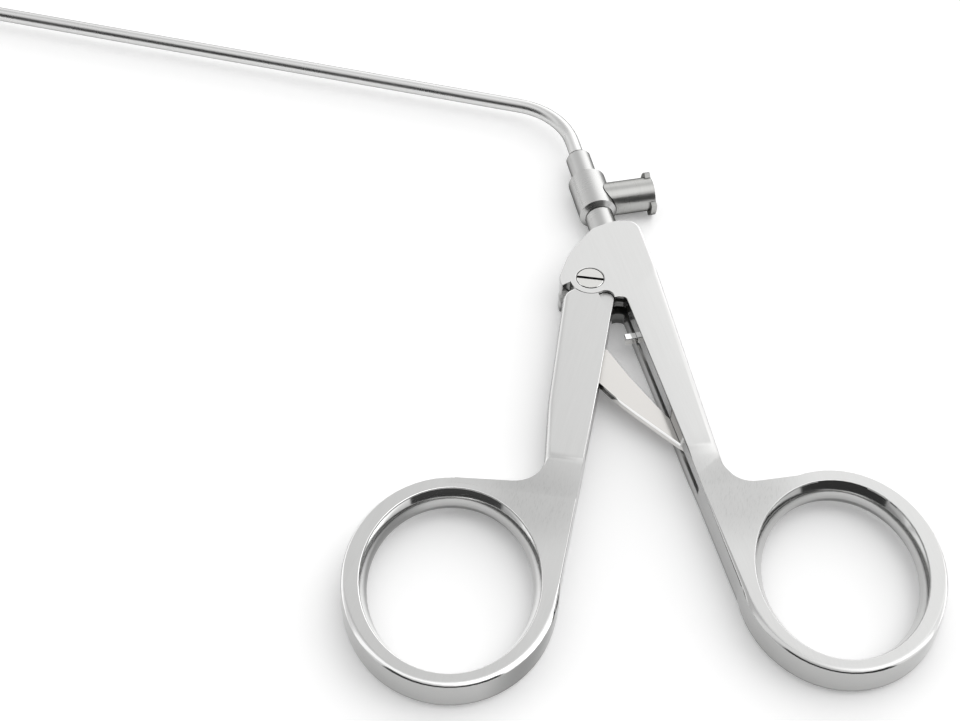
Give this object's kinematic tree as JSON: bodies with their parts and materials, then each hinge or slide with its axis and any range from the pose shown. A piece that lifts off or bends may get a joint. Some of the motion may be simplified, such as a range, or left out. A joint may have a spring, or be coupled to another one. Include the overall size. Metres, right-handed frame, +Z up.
{
  "type": "sinus punch forceps",
  "caption": "Ring-handled sinus punch forceps: a screw-pivoted head drives a rod through a bent tubular shaft with a flushing port to a round cutting sleeve.",
  "frame": {"origin": "on the pivot axis, at the flat lower face of the head", "axes": "+X across the handles towards the fixed ring, with the long straight shaft running along -X; handles towards -Y; +Z up from the face the head lies on"},
  "size_m": [0.2674, 0.1346, 0.007],
  "materials": {
    "satin_steel": "satin",
    "polished_steel": "polished",
    "spring_steel": "bright",
    "seal_rubber": "matte"
  },
  "bodies": {
    "frame": {"fixed_handle": "satin_steel", "pivot_screw": "spring_steel", "leaf_spring": "spring_steel", "stop_block": "spring_steel", "leaf_spring_pin": "spring_steel", "neck_collar": "polished_steel", "flushing_body": "polished_steel", "side_port": "polished_steel", "rod_seal": "seal_rubber", "outer_tube": "polished_steel", "punch_anvil": "polished_steel"},
    "front_handle": {"moving_handle": "satin_steel", "link_pin": "spring_steel"},
    "link": {"spring_link": "spring_steel"},
    "rear_rod": {"drive_rod_rear": "spring_steel", "rear_crimp": "spring_steel"},
    "cable": {"drive_cable": "spring_steel"},
    "cutter": {"drive_rod_front": "spring_steel", "front_crimp": "spring_steel", "cutter_sleeve": "polished_steel", "sleeve_pin": "spring_steel"}
  },
  "joints": [
    {"name": "handle_hinge", "type": "hinge", "parent": "frame", "child": "front_handle", "pos_m": [0, 0, 0.0035], "axis": [0, 0, 1], "range_deg": [0, 18], "stiffness_Nm_per_rad": 0.4},
    {"name": "link_hinge", "type": "hinge", "parent": "front_handle", "child": "link", "pos_m": [0.0033, -0.0172, 0.0035], "axis": [0, 0, 1], "range_deg": [-31.6, 0]},
    {"name": "rear_rod_slide", "type": "slide", "parent": "frame", "child": "rear_rod", "axis": [-0.4352, 0.9003, 0], "range_m": [0, 0.002]},
    {"name": "cable_turn", "type": "hinge", "parent": "frame", "child": "cable", "pos_m": [-0.02251, 0.0315, 0.0035], "axis": [0, 0, 1], "range_deg": [0, 8.8]},
    {"name": "cutter_slide", "type": "slide", "parent": "frame", "child": "cutter", "axis": [-1, 0, 0], "range_m": [0, 0.002]}
  ],
  "couplings": [
    {"joint": "link_hinge", "follows": "handle_hinge", "ratio": -1.74},
    {"joint": "rear_rod_slide", "follows": "handle_hinge", "m_per_rad": 0.0063346},
    {"joint": "cable_turn", "follows": "handle_hinge", "ratio": 0.48727},
    {"joint": "cutter_slide", "follows": "handle_hinge", "m_per_rad": 0.0063346}
  ]
}
